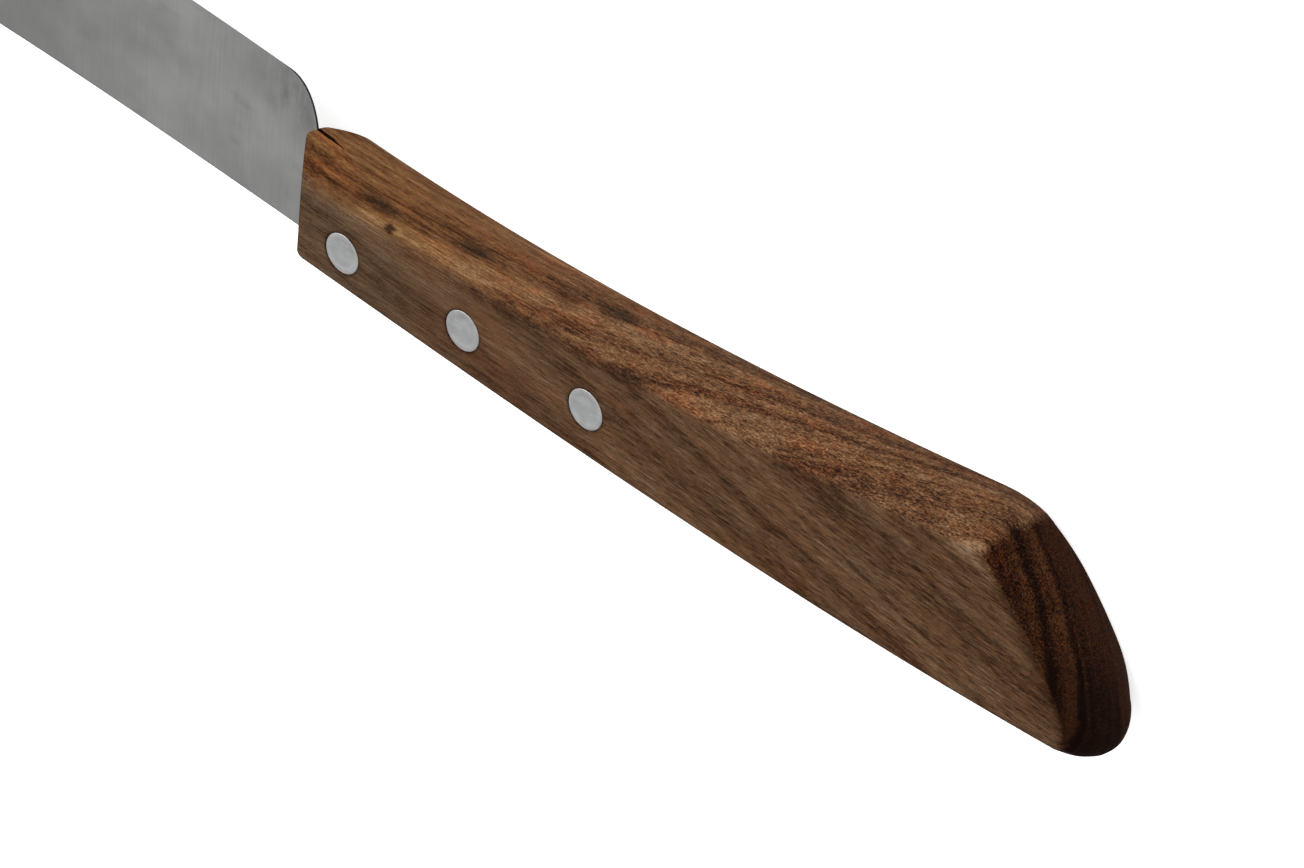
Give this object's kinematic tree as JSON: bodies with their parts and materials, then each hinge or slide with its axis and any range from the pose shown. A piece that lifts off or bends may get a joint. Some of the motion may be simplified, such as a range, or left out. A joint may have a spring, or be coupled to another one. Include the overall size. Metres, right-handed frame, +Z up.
{
  "type": "table knife",
  "caption": "Table knife with a thin ground steel blade, whose half tang is riveted into a slotted one-piece wooden handle with a slanted butt.",
  "frame": {"origin": "bottom centre of the bounding box, on the surface the knife lies on", "axes": "+X from the blade's tip to the butt of the handle, +Y from the spine to the cutting edge, +Z up from the surface, square to the blade"},
  "size_m": [0.2308, 0.0232, 0.0114],
  "materials": {
    "wood": "oiled walnut, fine open pores",
    "steel": "satin, ground across the blade",
    "rivet": "satin, ground flush with the wood"
  },
  "bodies": {
    "root": {"handle": "wood", "blade": "steel", "rivet_1": "rivet", "rivet_2": "rivet", "rivet_3": "rivet"}
  },
  "joints": []
}
